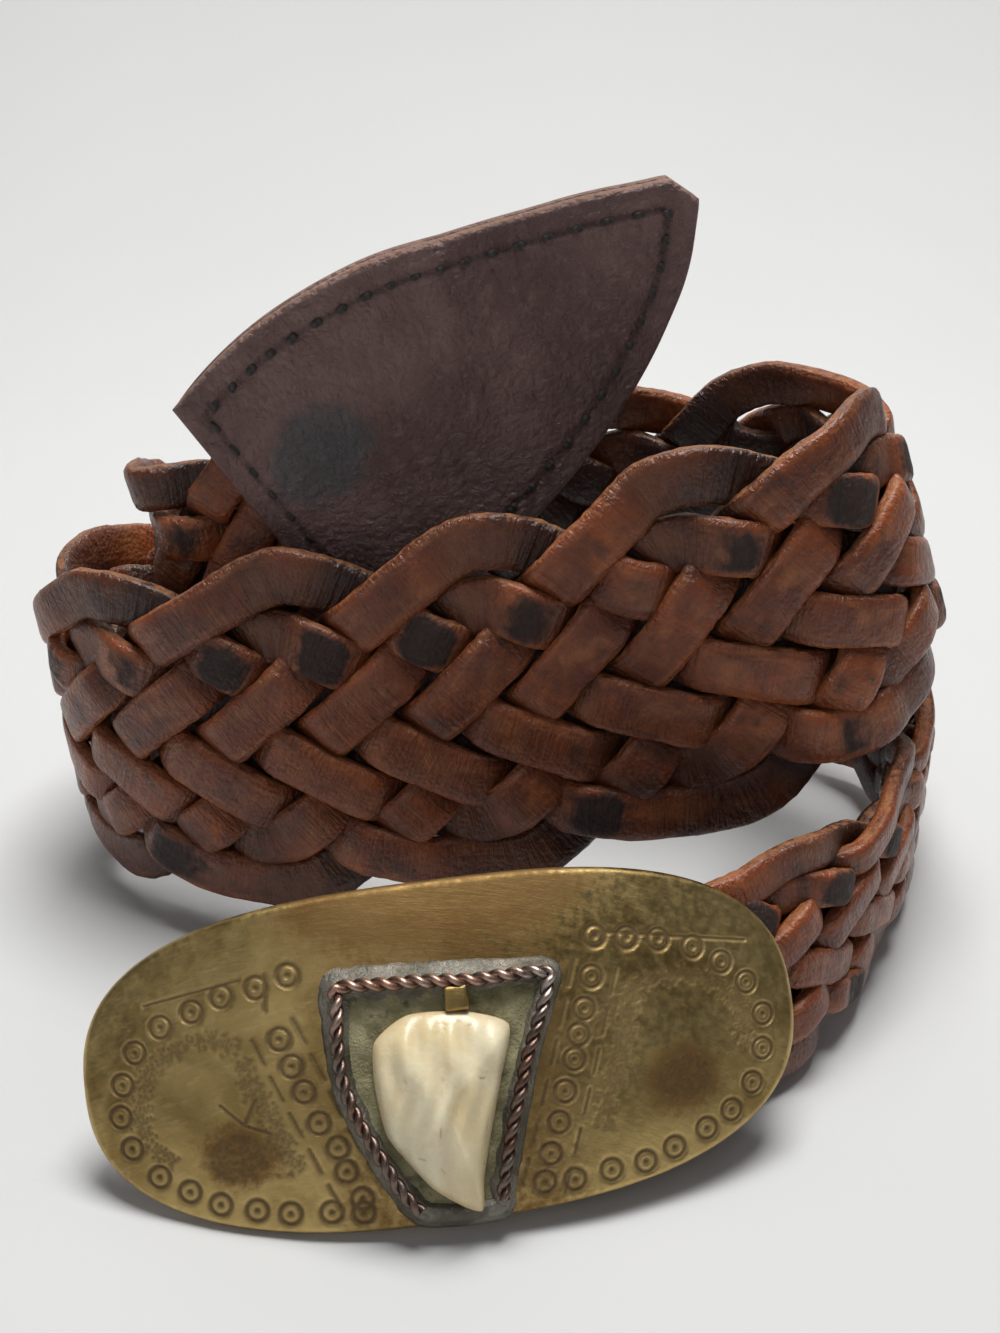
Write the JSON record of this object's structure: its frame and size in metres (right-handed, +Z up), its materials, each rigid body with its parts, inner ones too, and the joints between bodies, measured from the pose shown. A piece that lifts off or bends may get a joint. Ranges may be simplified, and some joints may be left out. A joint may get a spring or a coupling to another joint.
{
  "type": "braided_belt",
  "caption": "Braided leather belt lying in a loose coil, with a domed brass plate buckle that holds a carved tooth shape, and a stitched leather tip.",
  "frame": {"origin": "middle of the whole coil's box, on the surface that it rests on", "axes": "+X to the right seen from the front, +Y to the back, +Z up; the buckle lies at the front"},
  "size_m": [0.1494, 0.1466, 0.1178],
  "materials": {
    "strand_leather": "semi-gloss, burnt marks",
    "tip_leather": "semi-gloss, grained",
    "brass": "aged, brown patina",
    "tooth": "polished"
  },
  "bodies": {
    "root": {"braid": "strand_leather", "tip_front": "tip_leather", "tip_back": "tip_leather", "buckle_fold": "tip_leather", "buckle_plate": "brass", "tooth": "tooth"}
  },
  "joints": []
}
